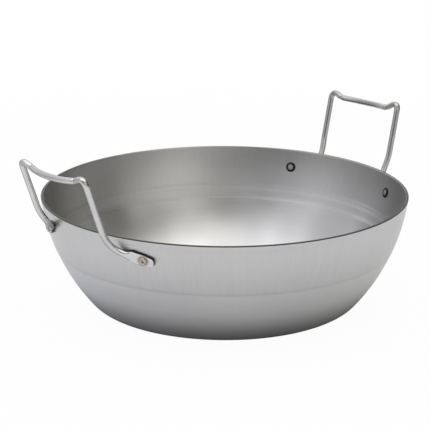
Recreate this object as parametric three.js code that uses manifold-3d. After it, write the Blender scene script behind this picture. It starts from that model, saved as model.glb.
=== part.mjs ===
// A deep two-handled steel pan: a pressed sheet bowl with a flat base and two bent wire handles.
// Each handle ends in two flattened tabs, and a rivet through each tab holds it on the wall.
// Millimetres, +Z up. The origin is the middle of the base's underside, and the handles lie on X.

import * as THREE from 'three';
import { LoftGeometry } from 'three/addons/geometries/LoftGeometry.js';
import { mergeVertices } from 'three/addons/utils/BufferGeometryUtils.js';
import Module from 'manifold-3d';

const wasm = await Module();
wasm.setup();
const { degToRad, lerp, smoothstep, clamp } = THREE.MathUtils;

// Pan body, measured on its outside
const RIM_RADIUS = 180;
const PAN_HEIGHT = 110;
const SHEET = 2;
const LIP_ANGLE = degToRad(6.65); // the wall's lean from the vertical at the rim
const WALL_BOW_RADIUS = 192; // the wall's curve from rim to base corner
const BASE_CORNER_RADIUS = 22;

// Handles, measured on the wire's centre line and along its lean from the level of the rim
const WIRE_DIAMETER = 6;
const LEFT_LEAN = degToRad(20); // the two wires are bent by hand and unalike
const LEFT_CLEARANCE = 10; // from the rim's outside to the leg's centre, at the rim's level
const RIGHT_LEAN = degToRad(12.7);
const RIGHT_CLEARANCE = 8.6;
const RIGHT_SHIFT = 1.9; // the right loop sits this far towards the back
const RIGHT_FRONT_EAR_RISE = 2.2; // and its front ear stands this much higher
const LEG_SPACING = 93;
const EAR_HEIGHT = 66; // corner where a leg turns in
const EAR_ROUND = 10.5; // length of leg that the ear's curve takes up
const GRIP_DIP = 6.5; // the grip lies this far below the ears
const GRIP_LENGTH = 64; // between the two corners where the ears dip into the grip
const DIP_ROUND = 4.5;
const GRIP_BOW = 4.5; // the grip's middle stands this far out of the handle's plane
const KNEE_TOP = 15.5; // the knee's curve ends this far up the leg
const KNEE_LEG_PULL = 17; // how far the knee's curve keeps to the leg
const KNEE_TAB_PULL = 27; // how far the knee's curve keeps to the tab

// Tabs, measured from the rivet along the tab
const TAB_WIDTH = 12; // at the rivet
const TAB_END_WIDTH = 9; // at the blunt end, before its corners are rounded
const TAB_THICKNESS = 2.5;
const TAB_END = 10.5; // rivet to blunt end
const TAB_END_ROUND = 3;
const TAB_FLAT = 11; // rivet to where the wire starts to swell
const TAB_SWELL = 7; // length over which the flat becomes round wire
const TAB_STRAIGHT = 8; // rivet to the start of the knee
const LEFT_FRONT_TILT = degToRad(11); // each tab's end hangs a little lower than its root
const LEFT_BACK_TILT = degToRad(17);
const RIGHT_TILT = degToRad(5);

// Rivets
const RIVET_SPACING = 138; // between the two rivets of one handle
const RIVET_DROP = 18.5; // below the rim
const SHANK_RADIUS = 2.5;
const HEAD_RADIUS = 5.2; // inside the pan, a flat-topped cone
const HEAD_TOP_RADIUS = 3;
const HEAD_EDGE = 0.3;
const HEAD_HEIGHT = 0.8;
const CLINCH_RADIUS = 4; // outside, the rolled hollow end
const CLINCH_HEIGHT = 1.1;
const CLINCH_CROWN_RADIUS = 3;
const CLINCH_HOLE_RADIUS = 1.3;
const CLINCH_HOLE_DEPTH = 2;
const FIT_GAP = 0.3; // between a piece and what it is seated on or passes through

// Fineness of the round surfaces
const PAN_SIDES = 96;
const WALL_STEPS = 8;
const CORNER_STEPS = 5;
const WIRE_SIDES = 12;
const RIVET_SIDES = 16;
const HOLE_SIDES = 24;

const SHEET_STEEL = { color: 0xa9a9ab, roughness: 0.42, metalness: 1 };
const WIRE_STEEL = { color: 0xc9c9c6, roughness: 0.25, metalness: 1 };
const RIVET_STEEL = { color: 0x8d8b86, roughness: 0.35, metalness: 1 };

const UP = new THREE.Vector3(0, 0, 1);
const LATHE_AXIS = new THREE.Vector3(0, 1, 0);

// Solids for cutting

function toSolid(geometry) {
  const bare = new THREE.BufferGeometry().copy(geometry);
  bare.deleteAttribute('normal');
  bare.deleteAttribute('uv');
  const merged = mergeVertices(bare);
  const corners = merged.index.array;
  const triangles = [];
  for (let i = 0; i < corners.length; i += 3) {
    const [a, b, c] = corners.slice(i, i + 3);
    const flat = a === b || b === c || c === a;
    if (!flat) triangles.push(a, b, c);
  }
  const vertProperties = new Float32Array(merged.attributes.position.array);
  const triVerts = new Uint32Array(triangles);
  return new wasm.Manifold(new wasm.Mesh({ numProp: 3, vertProperties, triVerts }));
}

function toGeometry(solid) {
  const mesh = solid.getMesh();
  const geometry = new THREE.BufferGeometry();
  geometry.setAttribute('position', new THREE.BufferAttribute(mesh.vertProperties, 3));
  geometry.setIndex(new THREE.BufferAttribute(mesh.triVerts, 1));
  geometry.computeVertexNormals();
  return geometry;
}

function steelMesh(name, geometry, look) {
  const mesh = new THREE.Mesh(geometry, new THREE.MeshStandardMaterial(look));
  mesh.name = name;
  return mesh;
}

// The wall's shape, shared by the bowl, the tabs and the rivets

function wallLean(drop) {
  return Math.asin(Math.sin(LIP_ANGLE) + drop / WALL_BOW_RADIUS);
}

function wallRadius(drop) {
  return RIM_RADIUS - WALL_BOW_RADIUS * (Math.cos(LIP_ANGLE) - Math.cos(wallLean(drop)));
}

// Where one rivet goes through the wall of the handle that lies on +X, on the side +1 or -1 of it.
// Its two directions run out of the wall and along the tab, tilted down, to its end.
function rivetSeat(side, tilt = 0) {
  const radius = wallRadius(RIVET_DROP);
  const turn = side * Math.asin(RIVET_SPACING / 2 / radius);
  const lean = wallLean(RIVET_DROP);
  const point = new THREE.Vector3(radius * Math.cos(turn), radius * Math.sin(turn), PAN_HEIGHT - RIVET_DROP);
  const level = new THREE.Vector3(Math.cos(turn), Math.sin(turn), 0);
  const out = level.clone().multiplyScalar(Math.cos(lean)).addScaledVector(UP, -Math.sin(lean));
  const levelAlong = new THREE.Vector3(-Math.sin(turn), Math.cos(turn), 0).multiplyScalar(side);
  const along = levelAlong.applyAxisAngle(out, -side * tilt);
  return { point, out, along };
}

function rivetHole(side) {
  const seat = rivetSeat(side);
  const length = 4 * (SHEET + TAB_THICKNESS + FIT_GAP);
  const hole = new THREE.CylinderGeometry(SHANK_RADIUS + FIT_GAP, SHANK_RADIUS + FIT_GAP, length, HOLE_SIDES);
  hole.applyQuaternion(new THREE.Quaternion().setFromUnitVectors(LATHE_AXIS, seat.out));
  hole.translate(seat.point.x, seat.point.y, seat.point.z);
  return toSolid(hole);
}

// Bowl

function arc(centre, radius, from, to, steps) {
  return new THREE.EllipseCurve(centre.x, centre.y, radius, radius, from, to, to < from).getPoints(steps);
}

function panBody() {
  const bow = WALL_BOW_RADIUS;
  const corner = BASE_CORNER_RADIUS;
  const foot = Math.asin((PAN_HEIGHT - corner + bow * Math.sin(LIP_ANGLE)) / (bow - corner));
  const wallCentre = new THREE.Vector2(
    RIM_RADIUS - bow * Math.cos(LIP_ANGLE),
    PAN_HEIGHT + bow * Math.sin(LIP_ANGLE),
  );
  const cornerCentre = new THREE.Vector2(Math.cos(foot), -Math.sin(foot));
  cornerCentre.multiplyScalar(bow - corner).add(wallCentre);
  const down = -Math.PI / 2;
  const profile = [
    new THREE.Vector2(0, 0),
    ...arc(cornerCentre, corner, down, -foot, CORNER_STEPS),
    ...arc(wallCentre, bow, -foot, -LIP_ANGLE, WALL_STEPS).slice(1),
    ...arc(wallCentre, bow - SHEET, -LIP_ANGLE, -foot, WALL_STEPS),
    ...arc(cornerCentre, corner - SHEET, -foot, down, CORNER_STEPS).slice(1),
    new THREE.Vector2(0, SHEET),
  ];
  const bowl = new THREE.LatheGeometry(profile, PAN_SIDES);
  bowl.rotateX(Math.PI / 2);
  let solid = toSolid(bowl);
  for (const side of [1, -1]) {
    const hole = rivetHole(side);
    solid = solid.subtract(hole).subtract(hole.rotate([0, 0, 180]));
  }
  return steelMesh('pan_body', toGeometry(solid), SHEET_STEEL);
}

// Wire handle

// A corner of the wire, curved from a length before it to the same length after it.
function roundedCorner(before, corner, after, length) {
  const start = corner.clone().add(before.clone().sub(corner).setLength(length));
  const end = corner.clone().add(after.clone().sub(corner).setLength(length));
  return new THREE.QuadraticBezierCurve3(start, corner, end);
}

// The centre line of half a handle, from the tab's end to the grip's middle, as curves with their steps.
// Its bend gives the loop's lean, clearance and shift to this half's side, the tab's tilt and the ear's rise.
function halfHandle({ lean, clearance, tilt, shift = 0, earRise = 0 }) {
  const seat = rivetSeat(1, tilt);
  const up = new THREE.Vector3(Math.sin(lean), 0, Math.cos(lean));
  const out = new THREE.Vector3(Math.cos(lean), 0, -Math.sin(lean));
  const foot = new THREE.Vector3(RIM_RADIUS + clearance, 0, PAN_HEIGHT);
  const at = (side, height, bow = 0) => {
    const point = foot.clone().addScaledVector(up, height).addScaledVector(out, bow);
    return point.setY(side + shift);
  };

  const tabMiddle = seat.point.clone().addScaledVector(seat.out, FIT_GAP + TAB_THICKNESS / 2);
  const onTab = (distance) => tabMiddle.clone().addScaledVector(seat.along, distance);
  const legTop = at(LEG_SPACING / 2, EAR_HEIGHT + earRise);
  const kneeTop = at(LEG_SPACING / 2, KNEE_TOP);
  const dip = at(GRIP_LENGTH / 2, EAR_HEIGHT - GRIP_DIP);
  const middle = at(0, EAR_HEIGHT - GRIP_DIP, GRIP_BOW);
  const gripPull = at(GRIP_LENGTH / 4, EAR_HEIGHT - GRIP_DIP, GRIP_BOW);

  const knee = new THREE.CubicBezierCurve3(
    onTab(-TAB_STRAIGHT),
    onTab(-TAB_STRAIGHT - KNEE_TAB_PULL),
    at(LEG_SPACING / 2, KNEE_TOP - KNEE_LEG_PULL),
    kneeTop,
  );
  const ear = roundedCorner(kneeTop, legTop, dip, EAR_ROUND);
  const dipCurve = roundedCorner(legTop, dip, gripPull, DIP_ROUND);
  const curves = [
    { curve: new THREE.LineCurve3(onTab(TAB_END), onTab(TAB_END - TAB_END_ROUND)), steps: 3 },
    { curve: new THREE.LineCurve3(onTab(TAB_END - TAB_END_ROUND), knee.v0), steps: 5 },
    { curve: knee, steps: 16 },
    { curve: new THREE.LineCurve3(kneeTop, ear.v0), steps: 4 },
    { curve: ear, steps: 7 },
    { curve: new THREE.LineCurve3(ear.v2, dipCurve.v0), steps: 1 },
    { curve: dipCurve, steps: 3 },
    { curve: new THREE.QuadraticBezierCurve3(dipCurve.v2, gripPull, middle), steps: 6 },
  ];
  return { seat, out, curves };
}

// The wire's sections along half a handle. A section has its middle, its two axes and its half sizes:
// a full round along most of the wire, wide and thin on the tab, and narrowing at the tab's blunt end.
function halfSections(bend) {
  const { seat, out, curves } = halfHandle(bend);
  const round = WIRE_DIAMETER / 2;
  const sections = [];
  for (const { curve, steps } of curves) {
    for (let i = sections.length ? 1 : 0; i <= steps; i++) {
      const middle = curve.getPoint(i / steps);
      const tangent = curve.getTangent(i / steps);
      const reach = middle.clone().sub(seat.point).dot(seat.along);
      const flat = smoothstep(reach, -TAB_FLAT - TAB_SWELL, -TAB_FLAT);
      const thick = out.clone().lerp(seat.out, flat);
      thick.addScaledVector(tangent, -thick.dot(tangent)).normalize();
      const intoEnd = Math.max(0, (reach - TAB_END + TAB_END_ROUND) / TAB_END_ROUND);
      const endCut = TAB_END_ROUND * (1 - Math.sqrt(Math.max(0, 1 - intoEnd * intoEnd)));
      const tabWidth = lerp(TAB_WIDTH, TAB_END_WIDTH, Math.max(0, reach / TAB_END));
      sections.push({
        middle,
        thick,
        wide: tangent.clone().cross(thick),
        halfWidth: lerp(round, tabWidth / 2, flat) - endCut,
        halfThickness: lerp(round, TAB_THICKNESS / 2, flat),
      });
    }
  }
  return sections;
}

function mirrored(section) {
  const flip = (vector) => vector.clone().setY(-vector.y);
  return { ...section, middle: flip(section.middle), thick: flip(section.thick), wide: flip(section.wide) };
}

function sectionOutline(section) {
  const points = [];
  for (let i = 0; i < WIRE_SIDES; i++) {
    const angle = 2 * Math.PI * i / WIRE_SIDES;
    const across = section.halfWidth * Math.cos(angle);
    const limit = section.halfThickness;
    const through = clamp(WIRE_DIAMETER / 2 * Math.sin(angle), -limit, limit);
    const point = section.middle.clone().addScaledVector(section.wide, -across);
    points.push(point.addScaledVector(section.thick, through));
  }
  return points;
}

function wireGeometry(bend, otherBend) {
  const half = halfSections(bend);
  const otherHalf = halfSections(otherBend).slice(0, -1).reverse().map(mirrored);
  const sections = [...half, ...otherHalf];
  return new LoftGeometry(sections.map(sectionOutline), { capStart: true, capEnd: true });
}

function handle(name, bend, otherBend) {
  const wire = toSolid(wireGeometry(bend, otherBend));
  const solid = wire.subtract(rivetHole(1)).subtract(rivetHole(-1));
  return steelMesh(name, toGeometry(solid), WIRE_STEEL);
}

// Rivet, turned about its own axis, with the wall's outside at zero and its head inside the pan

function rivet(name, side) {
  const hollow = HEAD_RADIUS * HEAD_RADIUS / (2 * wallRadius(RIVET_DROP)); // the wall's curve under the head
  const headSeat = -SHEET - FIT_GAP - hollow;
  const headTop = headSeat - HEAD_HEIGHT;
  const clinchSeat = TAB_THICKNESS + 2 * FIT_GAP;
  const clinchTop = clinchSeat + CLINCH_HEIGHT;
  const profile = [
    [0, headTop],
    [HEAD_TOP_RADIUS, headTop],
    [HEAD_RADIUS, headSeat - HEAD_EDGE],
    [HEAD_RADIUS, headSeat],
    [SHANK_RADIUS, headSeat],
    [SHANK_RADIUS, clinchSeat],
    [CLINCH_RADIUS, clinchSeat],
    [CLINCH_CROWN_RADIUS, clinchTop],
    [CLINCH_HOLE_RADIUS, clinchTop - CLINCH_HEIGHT / 4],
    [CLINCH_HOLE_RADIUS, clinchTop - CLINCH_HOLE_DEPTH],
    [0, clinchTop - CLINCH_HOLE_DEPTH],
  ].map(([radius, height]) => new THREE.Vector2(radius, height));
  const seat = rivetSeat(side);
  const turned = toSolid(new THREE.LatheGeometry(profile, RIVET_SIDES));
  const mesh = steelMesh(name, toGeometry(turned), RIVET_STEEL);
  mesh.quaternion.setFromUnitVectors(LATHE_AXIS, seat.out);
  mesh.position.copy(seat.point);
  return mesh;
}

// Assembly: each handle with its two rivets is one group, and the left group is turned half round

const rightBend = { lean: RIGHT_LEAN, clearance: RIGHT_CLEARANCE, tilt: RIGHT_TILT };
const rightBackBend = { ...rightBend, shift: RIGHT_SHIFT };
const rightFrontBend = { ...rightBend, shift: -RIGHT_SHIFT, earRise: RIGHT_FRONT_EAR_RISE };
const rightHandle = new THREE.Group();
rightHandle.add(handle('right_handle', rightBackBend, rightFrontBend));
rightHandle.add(rivet('right_back_rivet', 1), rivet('right_front_rivet', -1));

const leftBend = { lean: LEFT_LEAN, clearance: LEFT_CLEARANCE };
const leftFrontBend = { ...leftBend, tilt: LEFT_FRONT_TILT };
const leftBackBend = { ...leftBend, tilt: LEFT_BACK_TILT };
const leftHandle = new THREE.Group();
leftHandle.add(handle('left_handle', leftFrontBend, leftBackBend));
leftHandle.add(rivet('left_front_rivet', 1), rivet('left_back_rivet', -1));
leftHandle.rotation.z = Math.PI;

const pan = new THREE.Group();
pan.add(panBody(), leftHandle, rightHandle);

export default pan;
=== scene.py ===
from collections import namedtuple
from math import asin, atan2, cos, pi, radians, sin, sqrt

import bmesh
import bpy
from mathutils import Matrix, Quaternion, Vector


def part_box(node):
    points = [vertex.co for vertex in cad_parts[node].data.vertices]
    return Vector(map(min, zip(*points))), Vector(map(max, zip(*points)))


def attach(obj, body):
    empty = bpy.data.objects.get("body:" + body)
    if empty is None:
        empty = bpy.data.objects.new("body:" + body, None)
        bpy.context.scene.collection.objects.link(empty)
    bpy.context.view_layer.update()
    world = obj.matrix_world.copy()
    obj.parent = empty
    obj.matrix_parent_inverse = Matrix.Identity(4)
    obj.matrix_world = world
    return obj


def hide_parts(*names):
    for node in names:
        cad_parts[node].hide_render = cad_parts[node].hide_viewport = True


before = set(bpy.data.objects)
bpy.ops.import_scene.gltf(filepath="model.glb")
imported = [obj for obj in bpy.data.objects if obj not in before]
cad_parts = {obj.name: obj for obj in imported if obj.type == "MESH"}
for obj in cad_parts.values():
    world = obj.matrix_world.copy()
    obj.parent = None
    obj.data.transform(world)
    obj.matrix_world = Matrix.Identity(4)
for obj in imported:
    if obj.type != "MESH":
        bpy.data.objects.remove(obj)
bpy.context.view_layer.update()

# Camera
# The photograph looks down on the pan from between its front and its left handle, through a long lens.
# The eye stands back from the point that falls in the middle of the square picture.
VIEW_HEADING = radians(42.7)
VIEW_DROP = radians(16.65)
VIEW_ROLL = radians(-0.11)
VIEW_DISTANCE = 1.7
VIEW_AIM = Vector((-0.0065, 0.0069, 0.0853))
LENS = 143.8
SENSOR_WIDTH = 36

view_level = Vector((sin(VIEW_HEADING), cos(VIEW_HEADING), 0))
view_line = view_level * cos(VIEW_DROP) - Vector((0, 0, sin(VIEW_DROP)))
upright = view_line.to_track_quat("-Z", "Y")
roll = Quaternion(view_line, VIEW_ROLL)
photo_camera = bpy.data.objects.new("photo_camera", bpy.data.cameras.new("photo_camera"))
photo_camera.data.lens = LENS
photo_camera.data.sensor_width = SENSOR_WIDTH
eye = VIEW_AIM - view_line * VIEW_DISTANCE
photo_camera.matrix_world = Matrix.Translation(eye) @ (roll @ upright).to_matrix().to_4x4()
bpy.context.collection.objects.link(photo_camera)
bpy.context.scene.camera = photo_camera

# Pan body
# One disc of raw steel sheet, pressed into a bowl with a flat base and a wall that flares and steepens
# towards a plain cut rim. The outside is brushed up and down the wall, and the press left faint lines.
MM = 0.001
RIM_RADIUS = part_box("pan_body")[1][0]
PAN_HEIGHT = 110 * MM
SHEET = 2 * MM
LIP_ANGLE = radians(6.65)
WALL_BOW_RADIUS = 192 * MM
BASE_CORNER_RADIUS = 22 * MM
RIM_ROUNDING = 0.35 * MM
RIM_CORNER_ANGLE = radians(60)
ROUNDING_SEGMENTS = 3
PRESS_STEP = 0.2 * MM
INSIDE_PRESS_STEP = 0.12 * MM
PRESS_STEP_LENGTH = 1.1 * MM
OUTSIDE_PRESS_HEIGHTS = (59 * MM, 104.5 * MM)
INSIDE_PRESS_HEIGHTS = (71 * MM, 67 * MM, 58 * MM)
PAN_SIDES = 192
WALL_STEP_ANGLE = radians(0.6)
CORNER_STEPS = 14
SHARP_ANGLE = radians(40)
MERGE_DISTANCE = 0.001 * MM

rim_arm = WALL_BOW_RADIUS * Vector((cos(LIP_ANGLE), 0, -sin(LIP_ANGLE)))
wall_centre = Vector((RIM_RADIUS, 0, PAN_HEIGHT)) - rim_arm
corner_reach = WALL_BOW_RADIUS - BASE_CORNER_RADIUS
wall_foot = asin((wall_centre.z - BASE_CORNER_RADIUS) / corner_reach)
corner_centre = wall_centre + corner_reach * Vector((cos(wall_foot), 0, -sin(wall_foot)))


def piece_from(bm, name):
    """A smooth-shaded object of this bmesh, with its place in its mesh, and sharp edges kept sharp."""
    mesh = bpy.data.meshes.new(name)
    bm.to_mesh(mesh)
    bm.free()
    mesh.shade_smooth()
    mesh.set_sharp_from_angle(angle=SHARP_ANGLE)
    piece = bpy.data.objects.new(name, mesh)
    bpy.context.collection.objects.link(piece)
    return piece


def sweep_arc(bm, vert, centre, angle, steps):
    """Carries a profile's last vertex round a centre in the XZ plane and returns where it ends."""
    swept = bmesh.ops.spin(bm, geom=[vert], cent=centre, axis=(0, -1, 0), angle=angle, steps=steps)
    return [part for part in swept["geom_last"] if isinstance(part, bmesh.types.BMVert)][0]


def climb_wall(bm, vert, end_angle):
    """Carries a profile along the bowed wall to an angle below level, as seen from the middle of the bow."""
    arm = vert.co - wall_centre
    climb = atan2(-arm.z, arm.x) - end_angle
    steps = max(1, round(abs(climb) / WALL_STEP_ANGLE))
    return sweep_arc(bm, vert, wall_centre, climb, steps)


def sweep_wall(bm, vert, end_angle, step_heights, step):
    """Carries a profile up or down the wall to an angle below level, with a small step at each height."""
    way = 1 if end_angle < wall_foot else -1
    step_turn = Quaternion((0, -1, 0), way * PRESS_STEP_LENGTH / WALL_BOW_RADIUS)
    for height in step_heights:
        reach = (vert.co - wall_centre).length
        vert = climb_wall(bm, vert, asin((wall_centre.z - height) / reach))
        arm = step_turn @ (vert.co - wall_centre)
        after = bm.verts.new(wall_centre + arm + arm.normalized() * step)
        bm.edges.new((vert, after))
        vert = after
    return climb_wall(bm, vert, end_angle)


def turn_full(bm, sides):
    """Spins a profile into a closed surface about the Z axis, with merged poles and faces outwards."""
    bmesh.ops.spin(bm, geom=bm.verts[:] + bm.edges[:], cent=(0, 0, 0), axis=(0, 0, 1), angle=2 * pi,
                   steps=sides, use_merge=True)
    bmesh.ops.remove_doubles(bm, verts=bm.verts, dist=MERGE_DISTANCE)
    bmesh.ops.recalc_face_normals(bm, faces=bm.faces)


bm = bmesh.new()
under_middle = bm.verts.new((0, 0, 0))
base_edge = bm.verts.new((corner_centre.x, 0, 0))
bm.edges.new((under_middle, base_edge))
wall_start = sweep_arc(bm, base_edge, corner_centre, pi / 2 - wall_foot, CORNER_STEPS)
rim_outside = sweep_wall(bm, wall_start, LIP_ANGLE, OUTSIDE_PRESS_HEIGHTS, PRESS_STEP)
inner_arm = (rim_outside.co - wall_centre).normalized() * (WALL_BOW_RADIUS - SHEET)
rim_inside = bm.verts.new(wall_centre + inner_arm)
bm.edges.new((rim_outside, rim_inside))
wall_end = sweep_wall(bm, rim_inside, wall_foot, INSIDE_PRESS_HEIGHTS, -INSIDE_PRESS_STEP)
floor_edge = sweep_arc(bm, wall_end, corner_centre, wall_foot - pi / 2, CORNER_STEPS)
floor_middle = bm.verts.new((0, 0, floor_edge.co.z))
bm.edges.new((floor_edge, floor_middle))
turn_full(bm, PAN_SIDES)
rim_edges = [edge for edge in bm.edges if edge.calc_face_angle(0) > RIM_CORNER_ANGLE]
bmesh.ops.bevel(bm, geom=rim_edges, offset=RIM_ROUNDING, affect="EDGES", segments=ROUNDING_SEGMENTS,
                profile=0.5, material=-1)
pan_body = piece_from(bm, "pan_body_sheet")
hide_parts("pan_body")
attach(pan_body, "root")


class Nodes:
    """Short words for building a shader node tree."""

    def __init__(self, tree):
        self.tree = tree

    def add(self, kind, inputs=None, **settings):
        node = self.tree.nodes.new(kind)
        for name, value in settings.items():
            setattr(node, name, value)
        for name, value in (inputs or {}).items():
            socket = node.inputs[name]
            if isinstance(value, bpy.types.NodeSocket):
                self.tree.links.new(value, socket)
            else:
                socket.default_value = value
        return node

    def math(self, operation, first, second=0.0, third=0.0):
        return self.add("ShaderNodeMath", {0: first, 1: second, 2: third}, operation=operation).outputs[0]

    def ramp(self, value, low, high, to_low=0.0, to_high=1.0):
        """A smooth step from one value to another."""
        given = {"Value": value, "From Min": low, "From Max": high, "To Min": to_low, "To Max": to_high}
        return self.add("ShaderNodeMapRange", given, interpolation_type="SMOOTHSTEP").outputs["Result"]

    def noise(self, vector, scale):
        given = {"Vector": vector, "Scale": scale, "Detail": 3.0}
        return self.add("ShaderNodeTexNoise", given).outputs["Fac"]

    def vector(self, operation, first, second=(0.0, 0.0, 0.0)):
        return self.add("ShaderNodeVectorMath", {0: first, 1: second}, operation=operation).outputs[0]

    def dot(self, first, second):
        node = self.add("ShaderNodeVectorMath", {0: first, 1: second}, operation="DOT_PRODUCT")
        return node.outputs["Value"]

    def length(self, vector):
        return self.add("ShaderNodeVectorMath", {0: vector}, operation="LENGTH").outputs["Value"]

    def mix(self, share, first, second):
        """A value between two values."""
        return self.add("ShaderNodeMix", {0: share, 2: first, 3: second}, data_type="FLOAT").outputs[0]

    def blend(self, share, first, second):
        """A colour between two colours."""
        node = self.add("ShaderNodeMix", data_type="RGBA")
        for socket, value in zip((node.inputs[0], node.inputs[6], node.inputs[7]), (share, first, second)):
            if isinstance(value, bpy.types.NodeSocket):
                self.tree.links.new(value, socket)
            else:
                socket.default_value = value
        return node.outputs[2]


def new_material(name):
    material = bpy.data.materials.new(name)
    material.use_nodes = True
    material.node_tree.nodes.clear()
    return material, Nodes(material.node_tree)


def handled_steel_group():
    """Shared by every steel here: cloudy handling marks and fine pits, from a position."""
    group = bpy.data.node_groups.new("handled_steel", "ShaderNodeTree")
    group.interface.new_socket("Position", in_out="INPUT", socket_type="NodeSocketVector")
    group.interface.new_socket("Cloud Scale", in_out="INPUT", socket_type="NodeSocketFloat")
    group.interface.new_socket("Pit Scale", in_out="INPUT", socket_type="NodeSocketFloat")
    group.interface.new_socket("Clouds", in_out="OUTPUT", socket_type="NodeSocketFloat")
    group.interface.new_socket("Pits", in_out="OUTPUT", socket_type="NodeSocketFloat")
    nodes = Nodes(group)
    given = nodes.add("NodeGroupInput").outputs
    clouds = nodes.add("ShaderNodeTexNoise", {"Vector": given["Position"], "Scale": given["Cloud Scale"],
                                              "Detail": 4.0, "Roughness": 0.55})
    pits = nodes.add("ShaderNodeTexNoise", {"Vector": given["Position"], "Scale": given["Pit Scale"],
                                            "Detail": 2.0, "Roughness": 0.6})
    put_out = nodes.add("NodeGroupOutput")
    group.links.new(nodes.ramp(clouds.outputs["Fac"], 0.3, 0.7), put_out.inputs["Clouds"])
    group.links.new(nodes.ramp(pits.outputs["Fac"], 0.35, 0.65), put_out.inputs["Pits"])
    return group


HANDLED_STEEL = handled_steel_group()


def handled_marks(nodes, place, cloud_scale, pit_scale):
    """The clouds and the pits of handled steel, at their scales."""
    handled = nodes.add("ShaderNodeGroup", node_tree=HANDLED_STEEL)
    nodes.tree.links.new(place, handled.inputs["Position"])
    handled.inputs["Cloud Scale"].default_value = cloud_scale
    handled.inputs["Pit Scale"].default_value = pit_scale
    return handled.outputs["Clouds"], handled.outputs["Pits"]


BLACK = (0.0, 0.0, 0.0, 1.0)
SHEET_LIGHT = (0.66, 0.66, 0.66, 1)
SHEET_DARK = (0.605, 0.605, 0.605, 1)
# The colour of the painted shade along the top of the cut rim, and how deep it reaches.
CUT_EDGE_SHADE = (0.045, 0.045, 0.043, 1)
CUT_DEPTH = 0.8 * MM
CUT_FADE = 0.3 * MM
RUBBED_EDGE = 0.15 * MM
RUBBED_FADE = 0.1 * MM
FINE_STROKES = 260.0
BROAD_STROKES = 45.0
FINE_SHARE = 0.65
UPRIGHT_STRETCH = 0.5
ROUND_STROKES = 420.0
ROUND_STRETCH = 0.006
STROKE_TONE = 0.55
PRESSED_STROKE_TONE = 0.2
SHEET_CLOUDS = 14.0
CLOUD_TONE = 0.45
SHEET_PITS = 900.0
STROKE_SPREAD = 0.75
INSIDE_STROKE_SPREAD = 0.4
PRESSED_SPREAD = 0.4
INSIDE_BAND_TOP = 69 * MM
BAND_FADE = 1 * MM
PRESSED_LEVEL = 58.5 * MM
INSIDE_PRESS_FADE = 7 * MM
OUTSIDE_PRESS_FADE = 0.5 * MM
BAND_GAIN = 1.07
PRESSED_GAIN = 1.07
# How high the painted shade at the pan's foot reaches, and how dark it gets.
FOOT_SHADE_LEVEL = 40 * MM
FOOT_PAINTED_SHADE = 0.57
BRUSHED_ROUGHNESS = 0.33
PRESSED_ROUGHNESS = 0.31
BOWL_ROUGHNESS = 0.25
TONE_ROUGHNESS = 0.03
# How dark the painted shade on the inside wall gets where it is seen at a slant, and between which slants.
SLANT_PAINTED_SHADE = 0.3
SLANT_START = 0.3
SLANT_END = 0.75
STROKE_RELIEF = 0.05
PRESSED_RELIEF = 0.004
PIT_RELIEF = 0.008
RELIEF_DEPTH = 0.12 * MM


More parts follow.
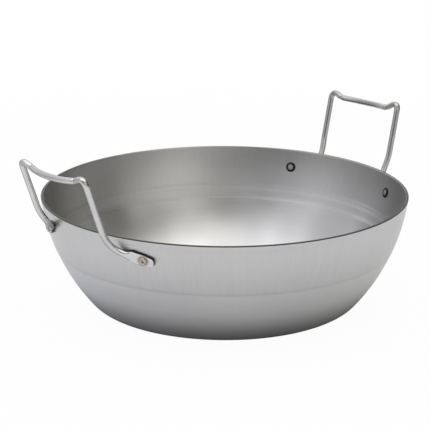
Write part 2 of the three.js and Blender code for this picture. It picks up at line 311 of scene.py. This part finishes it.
def sheet_steel():
    material, nodes = new_material("brushed_sheet_steel")
    coordinates = nodes.add("ShaderNodeTexCoord").outputs
    xyz = nodes.add("ShaderNodeSeparateXYZ", {0: coordinates["Object"]}).outputs
    level = nodes.add("ShaderNodeCombineXYZ", {"X": xyz["X"], "Y": xyz["Y"]}).outputs[0]
    heading = nodes.vector("NORMALIZE", level)
    heading_xyz = nodes.add("ShaderNodeSeparateXYZ", {0: heading}).outputs
    inside = nodes.ramp(nodes.dot(coordinates["Normal"], heading), -0.05, 0.05, 1.0, 0.0)
    # Below the press line the steel is smoother: outside the change is sharp, inside it is gradual.
    over_line = nodes.math("SUBTRACT", xyz["Z"], PRESSED_LEVEL)
    pressed_inside = nodes.ramp(over_line, -INSIDE_PRESS_FADE, INSIDE_PRESS_FADE, 1.0, 0.0)
    pressed_outside = nodes.ramp(over_line, -OUTSIDE_PRESS_FADE, OUTSIDE_PRESS_FADE, 1.0, 0.0)
    pressed = nodes.mix(inside, pressed_outside, pressed_inside)
    spun = nodes.math("MULTIPLY", inside, pressed)
    # Brush strokes run up the wall, and on the bowl's lower inside they run round it.
    upright = nodes.add("ShaderNodeCombineXYZ", {
        "X": heading_xyz["X"], "Y": heading_xyz["Y"], "Z": nodes.math("MULTIPLY", xyz["Z"], UPRIGHT_STRETCH),
    }).outputs[0]
    fine = nodes.noise(upright, FINE_STROKES)
    broad = nodes.noise(upright, BROAD_STROKES)
    up_strokes = nodes.mix(FINE_SHARE, broad, fine)
    reach = nodes.length(level)
    along_profile = nodes.math("SUBTRACT", xyz["Z"], reach)
    around = nodes.add("ShaderNodeCombineXYZ", {
        "X": nodes.math("MULTIPLY", heading_xyz["X"], ROUND_STRETCH),
        "Y": nodes.math("MULTIPLY", heading_xyz["Y"], ROUND_STRETCH),
        "Z": along_profile,
    }).outputs[0]
    strokes = nodes.mix(spun, up_strokes, nodes.noise(around, ROUND_STROKES))
    clouds, pits = handled_marks(nodes, coordinates["Object"], SHEET_CLOUDS, SHEET_PITS)
    stroke_tone = nodes.ramp(pressed, 0.0, 1.0, STROKE_TONE, PRESSED_STROKE_TONE)
    tone = nodes.math("ADD", nodes.math("MULTIPLY", nodes.ramp(strokes, 0.35, 0.65), stroke_tone),
                      nodes.math("MULTIPLY", clouds, CLOUD_TONE))
    colour = nodes.blend(tone, SHEET_DARK, SHEET_LIGHT)
    # Inside, a brighter band lies above the press line.
    below_band_top = nodes.ramp(xyz["Z"], INSIDE_BAND_TOP - BAND_FADE, INSIDE_BAND_TOP + BAND_FADE, 1.0, 0.0)
    band = nodes.math("MULTIPLY", nodes.math("SUBTRACT", below_band_top, pressed), inside)
    gain = nodes.math("ADD", nodes.ramp(pressed, 0.0, 1.0, 1.0, PRESSED_GAIN),
                      nodes.math("MULTIPLY", band, BAND_GAIN - 1.0))
    colour = nodes.add("ShaderNodeVectorMath", {0: colour, "Scale": gain}, operation="SCALE").outputs[0]
    # The steel is painted darker towards the base, as painted shade for the pan's shadow that the lower wall
    # mirrors from the floor: outside in full, and on the flat floor by half.
    foot_shade = nodes.math("MULTIPLY", nodes.ramp(xyz["Z"], 0.0, FOOT_SHADE_LEVEL, FOOT_PAINTED_SHADE, 0.0),
                      nodes.math("SUBTRACT", 1.0, inside))
    colour = nodes.blend(foot_shade, colour, BLACK)
    # Inside, the colour is painted darker where the wall is seen at a slant, as painted shade for a rough
    # brushed wall that mirrors less there.
    slant = nodes.add("ShaderNodeLayerWeight", {"Blend": 0.5}).outputs["Facing"]
    slant_shade = nodes.ramp(slant, SLANT_START, SLANT_END, 0.0, SLANT_PAINTED_SHADE)
    colour = nodes.blend(nodes.math("MULTIPLY", slant_shade, inside), colour, BLACK)
    # The top of the cut rim is painted near black, as painted shade along the cut edge, but for its inner
    # edge, which is rubbed bright.
    near_rim = nodes.ramp(xyz["Z"], PAN_HEIGHT - CUT_DEPTH, PAN_HEIGHT - CUT_DEPTH + CUT_FADE)
    rubbed = RIM_RADIUS - SHEET + RUBBED_EDGE
    cut = nodes.math("MULTIPLY", near_rim, nodes.ramp(reach, rubbed - RUBBED_FADE, rubbed + RUBBED_FADE))
    colour = nodes.blend(cut, colour, CUT_EDGE_SHADE)
    smooth = nodes.ramp(inside, 0.0, 1.0, PRESSED_ROUGHNESS, BOWL_ROUGHNESS)
    roughness = nodes.math("MULTIPLY_ADD", tone, TONE_ROUGHNESS,
                           nodes.ramp(pressed, 0.0, 1.0, BRUSHED_ROUGHNESS, smooth))
    # Light spreads across the strokes more than along them.
    tangent = nodes.add("ShaderNodeCombineXYZ", {
        "X": nodes.math("MULTIPLY", heading_xyz["Y"], -1.0), "Y": heading_xyz["X"],
    }).outputs[0]
    tangent = nodes.add("ShaderNodeVectorTransform", {0: tangent}, vector_type="VECTOR",
                        convert_from="OBJECT", convert_to="WORLD").outputs[0]
    stroke_spread = nodes.ramp(inside, 0.0, 1.0, STROKE_SPREAD, INSIDE_STROKE_SPREAD)
    quarter_turn = nodes.math("MULTIPLY", spun, 0.25)
    stroke_relief = nodes.ramp(pressed, 0.0, 1.0, STROKE_RELIEF, PRESSED_RELIEF)
    relief = nodes.math("ADD", nodes.math("MULTIPLY", strokes, stroke_relief),
                        nodes.math("MULTIPLY", pits, PIT_RELIEF))
    bump = nodes.add("ShaderNodeBump", {
        "Strength": 1.0, "Distance": RELIEF_DEPTH, "Height": relief,
    }).outputs[0]
    shader = nodes.add("ShaderNodeBsdfPrincipled", {
        "Base Color": colour, "Roughness": roughness, "Metallic": 1.0, "Normal": bump,
        "Anisotropic": nodes.ramp(pressed, 0.0, 1.0, stroke_spread, PRESSED_SPREAD),
        "Anisotropic Rotation": quarter_turn, "Tangent": tangent,
    })
    put_out = nodes.add("ShaderNodeOutputMaterial")
    nodes.tree.links.new(shader.outputs[0], put_out.inputs["Surface"])
    return material


pan_body.data.materials.append(sheet_steel())

# Handles
# Each handle is one length of drawn steel wire, bent by hand into a loop with raised ears beside the grip.
# Its two ends are hammered into flat tabs that lie on the wall, tinted brown where they were riveted hot.
WIRE_DIAMETER = 6 * MM
WIRE_ROUNDNESS = 8
WIRE_STEPS = 20
# Each half's bend: the loop's lean, its clearance from the rim, its shift to that half's side,
# how much its ear rises, and how far its tab tilts down to the end.
Bend = namedtuple("Bend", "lean clearance shift ear_rise tilt")
LEFT_FRONT_BEND = Bend(radians(20), 10 * MM, 0, 0, radians(11))
LEFT_BACK_BEND = Bend(radians(20), 10 * MM, 0, 0, radians(17))
RIGHT_BACK_BEND = Bend(radians(12.7), 8.6 * MM, 1.9 * MM, 0, radians(5))
RIGHT_FRONT_BEND = Bend(radians(12.7), 8.6 * MM, -1.9 * MM, 2.2 * MM, radians(5))
HANDLE_BENDS = {
    "left_handle": (LEFT_FRONT_BEND, LEFT_BACK_BEND),
    "right_handle": (RIGHT_BACK_BEND, RIGHT_FRONT_BEND),
}
LEG_SPACING = 93 * MM
EAR_HEIGHT = 66 * MM
EAR_ROUND = 10.5 * MM
GRIP_DIP = 6.5 * MM
GRIP_LENGTH = 64 * MM
DIP_ROUND = 4.5 * MM
CORNER_PULL = 2 / 3
STRAIGHT_PULL = 1 / 3
GRIP_BOW = 4.5 * MM
PINCH_DEPTH = 0.6 * MM
PINCH_REACH = 1.8 * MM
KNEE_TOP = 15.5 * MM
KNEE_LEG_PULL = 17 * MM
KNEE_TAB_PULL = 27 * MM
TAB_WIDTH = 12 * MM
TAB_END_WIDTH = 9 * MM
TAB_THICKNESS = 2.5 * MM
TAB_END = 10.5 * MM
TAB_END_ROUND = 3 * MM
TAB_FLAT = 11 * MM
TAB_SWELL = 7 * MM
TAB_STRAIGHT = 8 * MM
RIVET_SPACING = 138 * MM
RIVET_DROP = 18.5 * MM
FIT_GAP = 0.3 * MM


def rivet_seat(side, tilt=0):
    """A rivet's point on the wall beside the +X handle, with the ways out of the wall and along the tab."""
    lean = asin(sin(LIP_ANGLE) + RIVET_DROP / WALL_BOW_RADIUS)
    radius = RIM_RADIUS - WALL_BOW_RADIUS * (cos(LIP_ANGLE) - cos(lean))
    turn = side * asin(RIVET_SPACING / 2 / radius)
    point = Vector((radius * cos(turn), radius * sin(turn), PAN_HEIGHT - RIVET_DROP))
    out = Vector((cos(turn) * cos(lean), sin(turn) * cos(lean), -sin(lean)))
    along = Quaternion(out, -side * tilt) @ Vector((-side * sin(turn), side * cos(turn), 0))
    return point, out, along


def smooth_share(value, low, high):
    share = min(1, max(0, (value - low) / (high - low)))
    return share * share * (3 - 2 * share)


def handle_knots(bend):
    """Knots of half the wire, tab end to grip middle: each a place with its arriving and leaving pulls."""
    point, out, along = rivet_seat(1, bend.tilt)
    up = Vector((sin(bend.lean), 0, cos(bend.lean)))
    outward = Vector((cos(bend.lean), 0, -sin(bend.lean)))
    foot = Vector((RIM_RADIUS + bend.clearance, bend.shift, PAN_HEIGHT))

    def on_tab(distance):
        return point + out * (FIT_GAP + TAB_THICKNESS / 2) + along * distance

    def on_loop(side, height, bow=0):
        return foot + Vector((0, side, 0)) + up * height + outward * bow

    ear = on_loop(LEG_SPACING / 2, EAR_HEIGHT + bend.ear_rise)
    dip = on_loop(GRIP_LENGTH / 2, EAR_HEIGHT - GRIP_DIP)
    knee_top = on_loop(LEG_SPACING / 2, KNEE_TOP)
    middle = on_loop(0, EAR_HEIGHT - GRIP_DIP, GRIP_BOW)
    grip_pull = on_loop(GRIP_LENGTH / 4, EAR_HEIGHT - GRIP_DIP, GRIP_BOW)
    knee_pull = on_loop(LEG_SPACING / 2, KNEE_TOP - KNEE_LEG_PULL)
    ear_start = ear + (knee_top - ear).normalized() * EAR_ROUND
    ear_end = ear + (dip - ear).normalized() * EAR_ROUND
    dip_start = dip + (ear - dip).normalized() * DIP_ROUND
    dip_end = dip + (grip_pull - dip).normalized() * DIP_ROUND

    def pulled(place, corner):
        return place.lerp(corner, CORNER_PULL)

    return [
        (on_tab(TAB_END), on_tab(TAB_END), on_tab(TAB_END / 2)),
        (on_tab(-TAB_STRAIGHT), on_tab(0), on_tab(-TAB_STRAIGHT - KNEE_TAB_PULL)),
        (knee_top, knee_pull, knee_top.lerp(ear_start, STRAIGHT_PULL)),
        (ear_start, ear_start.lerp(knee_top, STRAIGHT_PULL), pulled(ear_start, ear)),
        (ear_end, pulled(ear_end, ear), ear_end.lerp(dip_start, STRAIGHT_PULL)),
        (dip_start, dip_start.lerp(ear_end, STRAIGHT_PULL), pulled(dip_start, dip)),
        (dip_end, pulled(dip_end, dip), pulled(dip_end, grip_pull)),
        (middle, pulled(middle, grip_pull), None),
    ]


def bent_wire(bend, other_bend):
    """The loop as a round wire along its knots, as a bmesh."""
    flip = Matrix.Diagonal((1, -1, 1))
    half = handle_knots(bend)
    other_half = handle_knots(other_bend)
    middle, into_middle, _ = half.pop()
    _, out_of_middle, _ = other_half.pop()
    knots = half + [(middle, into_middle, flip @ out_of_middle)]
    knots += [(flip @ place, flip @ leave, flip @ arrive) for place, arrive, leave in reversed(other_half)]
    curve = bpy.data.curves.new("wire", "CURVE")
    curve.dimensions = "3D"
    curve.bevel_depth = WIRE_DIAMETER / 2
    curve.bevel_resolution = WIRE_ROUNDNESS
    curve.resolution_u = WIRE_STEPS
    curve.use_fill_caps = True
    spline = curve.splines.new("BEZIER")
    spline.bezier_points.add(len(knots) - 1)
    for knot, (place, arrive, leave) in zip(spline.bezier_points, knots):
        knot.handle_left_type = knot.handle_right_type = "FREE"
        knot.co = place
        knot.handle_left = arrive
        knot.handle_right = leave
    wire = bpy.data.objects.new("wire", curve)
    bm = bmesh.new()
    mesh = wire.to_mesh()
    bm.from_mesh(mesh)
    wire.to_mesh_clear()
    bpy.data.objects.remove(wire)
    bpy.data.curves.remove(curve)
    bmesh.ops.remove_doubles(bm, verts=bm.verts, dist=MERGE_DISTANCE)
    bmesh.ops.recalc_face_normals(bm, faces=bm.faces)
    return bm


def pinch_dip(bm, bend, side):
    """Presses the narrow crease that the bending tool left at one end of the grip."""
    flip = Matrix.Diagonal((1, side, 1))
    before, after = handle_knots(bend)[-3:-1]
    before_corner = flip @ before[2]
    after_corner = flip @ after[1]
    crease = (before_corner + after_corner) / 2
    along = (after_corner - before_corner).normalized()
    for vert in bm.verts:
        offset = vert.co - crease
        reach = offset.dot(along)
        to_side = offset - along * reach
        if abs(reach) > PINCH_REACH or to_side.length > WIRE_DIAMETER:
            continue
        share = 1 - (reach / PINCH_REACH) ** 2
        vert.co -= to_side.normalized() * PINCH_DEPTH * share * share


def hammer_tab(bm, bend, side):
    """Presses one end of the wire into a flat tab that narrows to a blunt rounded end."""
    point, out, along = rivet_seat(side, bend.tilt)
    across = out.cross(along)
    tab_middle = point + out * (FIT_GAP + TAB_THICKNESS / 2)
    for vert in bm.verts:
        offset = vert.co - tab_middle
        reach = offset.dot(along)
        wide = offset.dot(across)
        thick = offset.dot(out)
        flat = smooth_share(reach, -TAB_FLAT - TAB_SWELL, -TAB_FLAT)
        near_tab = abs(wide) < WIRE_DIAMETER and abs(thick) < WIRE_DIAMETER
        if flat == 0 or not near_tab:
            continue
        into_end = max(0, (reach - TAB_END + TAB_END_ROUND) / TAB_END_ROUND)
        end_cut = TAB_END_ROUND * (1 - sqrt(max(0, 1 - into_end * into_end)))
        narrowing = (TAB_WIDTH - TAB_END_WIDTH) / 2 * max(0, reach) / TAB_END
        half_width = WIRE_DIAMETER / 2 + flat * (TAB_WIDTH - WIRE_DIAMETER) / 2 - narrowing - end_cut
        half_thickness = WIRE_DIAMETER / 2 + flat * (TAB_THICKNESS - WIRE_DIAMETER) / 2
        new_wide = wide * half_width / (WIRE_DIAMETER / 2)
        new_thick = min(half_thickness, max(-half_thickness, thick))
        vert.co += across * (new_wide - wide) + out * (new_thick - thick)


WIRE_LIGHT = (0.74, 0.74, 0.73, 1)
WIRE_DARK = (0.67, 0.67, 0.66, 1)
# The painted shade on the wires' flanks.
WIRE_FLANK_SHADE = (0.16, 0.16, 0.155, 1)
# Scale and painted shade on the tabs' sides.
TAB_SCALE_AND_SHADE = (0.05, 0.048, 0.045, 1)
HEAT_TINT = (0.38, 0.25, 0.15, 1)
TINT_INNER = 3.4 * MM
TINT_OUTER = 5.6 * MM
TINT_RAGGED = 1.6 * MM
TINT_SHARE = 0.8
SCALE_REACH = 32 * MM
SCALE_FADE = 4 * MM
SCALE_ROUGHNESS = 0.3
SIDE_TOP = FIT_GAP + 0.82 * TAB_THICKNESS
FACE_START = FIT_GAP + 0.95 * TAB_THICKNESS
WIRE_CLOUDS = 60.0
WIRE_PITS = 1500.0
WIRE_CLOUD_ROUGHNESS = 0.04
WIRE_PIT_DEPTH = 0.04 * MM
WIRE_PIT_STRENGTH = 0.4


def seat_measures(nodes, place):
    """Distances from the nearest rivet: along its tab, out from the wall, and from its axis.

    The four rivets lie alike in every quarter, so the place is folded into one of them."""
    point, out, along = rivet_seat(1)
    offset = nodes.vector("SUBTRACT", nodes.vector("ABSOLUTE", place), point)
    from_axis = nodes.length(nodes.vector("CROSS_PRODUCT", offset, out))
    return nodes.dot(offset, along), nodes.dot(offset, out), from_axis


def wire_steel(name, flank_start, flank_end, flank_share, plain_roughness):
    material, nodes = new_material(name)
    place = nodes.add("ShaderNodeTexCoord").outputs["Object"]
    clouds, pits = handled_marks(nodes, place, WIRE_CLOUDS, WIRE_PITS)
    colour = nodes.blend(clouds, WIRE_DARK, WIRE_LIGHT)
    # The wire is painted darker at its flanks, where it is seen at a slant: painted shade for the dark
    # reflections along its edges.
    slant = nodes.add("ShaderNodeLayerWeight", {"Blend": 0.5}).outputs["Facing"]
    colour = nodes.blend(nodes.ramp(slant, flank_start, flank_end, 0.0, flank_share), colour, WIRE_FLANK_SHADE)
    reach, height, from_axis = seat_measures(nodes, place)
    # The rivet's heat left a ragged brown ring round it.
    ragged = nodes.math("MULTIPLY_ADD", clouds, -TINT_RAGGED, from_axis)
    colour = nodes.blend(nodes.ramp(ragged, TINT_INNER, TINT_OUTER, TINT_SHARE, 0.0), colour, HEAT_TINT)
    # The hammered tabs are painted near black on their sides: scale, where nothing rubs it off, and painted
    # shade for the dark gap between each tab and the wall.
    on_tab = nodes.ramp(reach, -SCALE_REACH, -TAB_FLAT)
    off_faces = nodes.ramp(height, SIDE_TOP, FACE_START, 1.0, 0.0)
    near_rivet = nodes.ramp(from_axis, SCALE_REACH, SCALE_REACH + SCALE_FADE, 1.0, 0.0)
    scale = nodes.math("MULTIPLY", nodes.math("MULTIPLY", on_tab, off_faces), near_rivet)
    colour = nodes.blend(scale, colour, TAB_SCALE_AND_SHADE)
    roughness = nodes.math("MULTIPLY_ADD", clouds, WIRE_CLOUD_ROUGHNESS, plain_roughness)
    roughness = nodes.math("MULTIPLY_ADD", scale, SCALE_ROUGHNESS, roughness)
    bump = nodes.add("ShaderNodeBump", {
        "Strength": WIRE_PIT_STRENGTH, "Distance": WIRE_PIT_DEPTH, "Height": pits,
    }).outputs[0]
    shader = nodes.add("ShaderNodeBsdfPrincipled", {
        "Base Color": colour, "Roughness": roughness, "Metallic": 1.0, "Normal": bump,
    })
    put_out = nodes.add("ShaderNodeOutputMaterial")
    nodes.tree.links.new(shader.outputs[0], put_out.inputs["Surface"])
    return material


HALF_TURN = Matrix.Rotation(pi, 4, "Z")
# Both wires carry painted shade on their flanks; on the right handle it spreads over more of the wire, which
# is also glossier.
WIRE_FINISHES = {
    "left_handle": wire_steel("wire_steel_edge_shade", flank_start=0.25, flank_end=0.7, flank_share=0.7,
                              plain_roughness=0.15),
    "right_handle": wire_steel("glossy_wire_steel_broad_shade", flank_start=0.02, flank_end=0.3, flank_share=0.55,
                               plain_roughness=0.06),
}
for node, bends in HANDLE_BENDS.items():
    bm = bent_wire(*bends)
    for side, bend in zip((1, -1), bends):
        pinch_dip(bm, bend, side)
        hammer_tab(bm, bend, side)
    if node == "left_handle":
        bmesh.ops.transform(bm, matrix=HALF_TURN, verts=bm.verts)
    handle = piece_from(bm, node + "_wire")
    handle.data.materials.append(WIRE_FINISHES[node])
    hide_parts(node)
    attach(handle, "root")

# Rivets
# Four steel rivets hold the tabs. Each has a flat-topped cone for a head inside the pan, and outside
# its hollow end is rolled over the tab, which leaves a ring with a small dimple in the middle.
SHANK_RADIUS = 2.5 * MM
HEAD_RADIUS = 5.2 * MM
HEAD_TOP_RADIUS = 3 * MM
HEAD_EDGE = 0.3 * MM
HEAD_HEIGHT = 0.8 * MM
CLINCH_RADIUS = 4 * MM
CLINCH_HEIGHT = 1.1 * MM
CLINCH_CROWN_RADIUS = 3 * MM
CLINCH_HOLE_RADIUS = 1.3 * MM
CLINCH_HOLE_DEPTH = 2 * MM
RIVET_SIDES = 48
RIVET_ROUNDING = 0.3 * MM
RIVET_CORNER_ANGLE = radians(25)
# Each rivet's side of its handle, and whether that handle is the left one.
RIVET_PLACES = {
    "right_back_rivet": (1, False), "right_front_rivet": (-1, False),
    "left_front_rivet": (1, True), "left_back_rivet": (-1, True),
}


def turned_rivet():
    """A rivet about the Z axis, as a bmesh: the wall's outside is at zero and the head below it."""
    seat_point, _, _ = rivet_seat(1)
    hollow = HEAD_RADIUS ** 2 / (2 * seat_point.xy.length)
    head_seat = -SHEET - FIT_GAP - hollow
    head_top = head_seat - HEAD_HEIGHT
    clinch_seat = TAB_THICKNESS + 2 * FIT_GAP
    clinch_top = clinch_seat + CLINCH_HEIGHT
    outline = [
        (0, head_top),
        (HEAD_TOP_RADIUS, head_top),
        (HEAD_RADIUS, head_seat - HEAD_EDGE),
        (HEAD_RADIUS, head_seat),
        (SHANK_RADIUS, head_seat),
        (SHANK_RADIUS, clinch_seat),
        (CLINCH_RADIUS, clinch_seat),
        (CLINCH_CROWN_RADIUS, clinch_top),
        (CLINCH_HOLE_RADIUS, clinch_top - CLINCH_HEIGHT / 4),
        (CLINCH_HOLE_RADIUS, clinch_top - CLINCH_HOLE_DEPTH),
        (0, clinch_top - CLINCH_HOLE_DEPTH),
    ]
    bm = bmesh.new()
    verts = [bm.verts.new((radius, 0, height)) for radius, height in outline]
    for before, after in zip(verts, verts[1:]):
        bm.edges.new((before, after))
    turn_full(bm, RIVET_SIDES)
    rings = [edge for edge in bm.edges if edge.calc_face_angle(0) > RIVET_CORNER_ANGLE]
    bmesh.ops.bevel(bm, geom=rings, offset=RIVET_ROUNDING, affect="EDGES", segments=ROUNDING_SEGMENTS,
                    profile=0.5, material=-1)
    return bm


RIVET_LIGHT = (0.70, 0.69, 0.66, 1)
RIVET_DARK = (0.42, 0.41, 0.39, 1)
# Scale and painted shade on the flank of each rivet head inside the pan.
RIVET_SCALE_AND_SHADE = (0.035, 0.034, 0.032, 1)
RIVET_CLOUDS = 350.0
RIVET_PITS = 2500.0
RIVET_PIT_DEPTH = 0.06 * MM
RIVET_PIT_STRENGTH = 0.5
RIVET_ROUGHNESS = 0.28
RIVET_PIT_ROUGHNESS = 0.15
HEAD_DULLNESS = 0.5
FLANK_START = HEAD_TOP_RADIUS - 0.5 * MM
FLANK_FULL = HEAD_TOP_RADIUS + 0.1 * MM
HEAD_FADE = 0.2 * MM


def rivet_steel():
    material, nodes = new_material("rivet_steel")
    place = nodes.add("ShaderNodeTexCoord").outputs["Object"]
    clouds, pits = handled_marks(nodes, place, RIVET_CLOUDS, RIVET_PITS)
    colour = nodes.blend(clouds, RIVET_DARK, RIVET_LIGHT)
    # Inside the pan the head is duller, and its flank is painted near black: scale, and painted shade for the
    # dark that its sloped flank mirrors.
    _, height, from_axis = seat_measures(nodes, place)
    flank = nodes.ramp(from_axis, FLANK_START, FLANK_FULL)
    in_pan = nodes.ramp(height, -SHEET, -SHEET + HEAD_FADE, 1.0, 0.0)
    colour = nodes.blend(nodes.math("MULTIPLY", in_pan, HEAD_DULLNESS), colour, RIVET_DARK)
    colour = nodes.blend(nodes.math("MULTIPLY", flank, in_pan), colour, RIVET_SCALE_AND_SHADE)
    roughness = nodes.math("MULTIPLY_ADD", pits, RIVET_PIT_ROUGHNESS, RIVET_ROUGHNESS)
    bump = nodes.add("ShaderNodeBump", {
        "Strength": RIVET_PIT_STRENGTH, "Distance": RIVET_PIT_DEPTH, "Height": pits,
    }).outputs[0]
    shader = nodes.add("ShaderNodeBsdfPrincipled", {
        "Base Color": colour, "Roughness": roughness, "Metallic": 1.0, "Normal": bump,
    })
    put_out = nodes.add("ShaderNodeOutputMaterial")
    nodes.tree.links.new(shader.outputs[0], put_out.inputs["Surface"])
    return material


rivet_finish = rivet_steel()
for node, (side, on_left) in RIVET_PLACES.items():
    point, out, _ = rivet_seat(side)
    seat = Matrix.Translation(point) @ out.to_track_quat("Z", "Y").to_matrix().to_4x4()
    bm = turned_rivet()
    bmesh.ops.transform(bm, matrix=HALF_TURN @ seat if on_left else seat, verts=bm.verts)
    rivet = piece_from(bm, node + "_steel")
    rivet.data.materials.append(rivet_finish)
    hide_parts(node)
    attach(rivet, "root")

# Studio
# A plain white floor under a dark sky, in which broad soft lights hang on all sides.
# The floor is lifted to white for the eye. The steel mirrors it nearly as it is lit, with the pan's shadow,
# and further off it is painted grey, as painted shade for a dim room beyond the table.
FLOOR_RADIUS = 8.0
FLOOR_SIDES = 96
FLOOR_NEAR = 0.45
FLOOR_FAR = 1.4
FLOOR_WHITE = (0.85, 0.86, 0.885, 1)
# The far floor's grey is painted shade.
FLOOR_FAR_SHADE = (0.52, 0.525, 0.54, 1)
EYE_LIFT = 0.965
MIRROR_LIFT = 0.02

bm = bmesh.new()
bmesh.ops.create_circle(bm, cap_ends=True, segments=FLOOR_SIDES, radius=FLOOR_RADIUS)
floor = piece_from(bm, "studio_floor")
material, nodes = new_material("studio_floor")
from_middle = nodes.length(nodes.add("ShaderNodeTexCoord").outputs["Object"])
# Far from the pan the floor's colour turns grey: painted shade that only the steel shows, since the eye sees
# the far floor lifted to white.
far = nodes.ramp(from_middle, FLOOR_NEAR, FLOOR_FAR)
diffuse = nodes.add("ShaderNodeBsdfDiffuse", {"Color": nodes.blend(far, FLOOR_WHITE, FLOOR_FAR_SHADE)})
rays = nodes.add("ShaderNodeLightPath").outputs
eye_rays = nodes.math("MAXIMUM", rays["Is Camera Ray"], rays["Is Transmission Ray"])
eye_share = nodes.math("MULTIPLY", eye_rays, nodes.ramp(far, 0.0, 1.0, EYE_LIFT, 1.0))
share = nodes.math("MAXIMUM", eye_share, nodes.math("MULTIPLY", rays["Is Glossy Ray"], MIRROR_LIFT))
white = nodes.add("ShaderNodeEmission", {"Strength": 1.0})
total = nodes.add("ShaderNodeMixShader", {0: share, 1: diffuse.outputs[0], 2: white.outputs[0]})
nodes.tree.links.new(total.outputs[0], nodes.add("ShaderNodeOutputMaterial").inputs["Surface"])
floor.data.materials.append(material)

COOL_LIGHT = (0.985, 0.983, 1.03, 1)
WARM_LIGHT = (1.03, 1.01, 0.92, 1)
WHITE = (1.0, 1.0, 1.0, 1.0)
SKY_BASE = 0.01
# Each soft light hangs some degrees to the right of the camera and some degrees up, and has a spread in
# degrees and a strength. A low row and a wavy high row hang round the camera, and two boxes on each side.
SoftLight = namedtuple("SoftLight", "turn rise spread strength")
FRONT_TURNS = (-60, -30, 0, 30, 60)
FRONT_SPREAD = 24
LOW_ROW_RISE = 22
LOW_ROW_STRENGTH = 0.35
HIGH_ROW_RISES = (47, 55, 60, 53, 60)
HIGH_ROW_STRENGTH = 0.65
KEY_LIGHT = SoftLight(30, 12, 24, 0.5)
RIGHT_FILL = SoftLight(60, 14, 24, 0.15)
LEFT_FILL = SoftLight(-60, 8, 24, 0.3)
TOP_LIGHT = SoftLight(0, 78, 26, 0.3)
HIGH_SIDE_BOX = SoftLight(105, 64, 36, 1.0)
DIM_SIDE_BOX = SoftLight(105, 38, 38, 0.15)
LEFT_WINDOW = (SoftLight(-95, 12, 38, 0.5), SoftLight(-140, 12, 38, 0.9))
BACK_WALL = (SoftLight(180, 12, 38, 0.7), SoftLight(180, 42, 45, 0.7), SoftLight(180, 70, 36, 0.4))

soft_lights = [KEY_LIGHT, RIGHT_FILL, LEFT_FILL, TOP_LIGHT, *LEFT_WINDOW, *BACK_WALL]
for box in (HIGH_SIDE_BOX, DIM_SIDE_BOX):
    soft_lights += [box, box._replace(turn=-box.turn)]
for turn, high_rise in zip(FRONT_TURNS, HIGH_ROW_RISES):
    soft_lights.append(SoftLight(turn, LOW_ROW_RISE, FRONT_SPREAD, LOW_ROW_STRENGTH))
    soft_lights.append(SoftLight(turn, high_rise, FRONT_SPREAD, HIGH_ROW_STRENGTH))

world = bpy.data.worlds.new("studio_sky")
world.use_nodes = True
world.node_tree.nodes.clear()
nodes = Nodes(world.node_tree)
direction = nodes.add("ShaderNodeTexCoord").outputs["Generated"]
brightness = SKY_BASE
for light in soft_lights:
    heading = VIEW_HEADING + pi - radians(light.turn)
    rise = radians(light.rise)
    towards = Vector((sin(heading) * cos(rise), cos(heading) * cos(rise), sin(rise)))
    glow = nodes.ramp(nodes.dot(direction, towards), cos(radians(light.spread)), 1.0, 0.0, light.strength)
    brightness = nodes.math("ADD", glow, brightness)
# The light from the camera's right is a little warmer than that from its left.
camera_right = Vector((cos(VIEW_HEADING), -sin(VIEW_HEADING), 0))
tint = nodes.blend(nodes.ramp(nodes.dot(direction, camera_right), -1.0, 1.0), COOL_LIGHT, WARM_LIGHT)
seen = nodes.add("ShaderNodeLightPath").outputs["Is Camera Ray"]
tint = nodes.blend(seen, tint, WHITE)
brightness = nodes.mix(seen, brightness, 1.0)
sky = nodes.add("ShaderNodeBackground", {"Color": tint, "Strength": brightness})
nodes.tree.links.new(sky.outputs[0], nodes.add("ShaderNodeOutputWorld").inputs["Surface"])
bpy.context.scene.world = world

bpy.context.scene.view_settings.view_transform = "Standard"
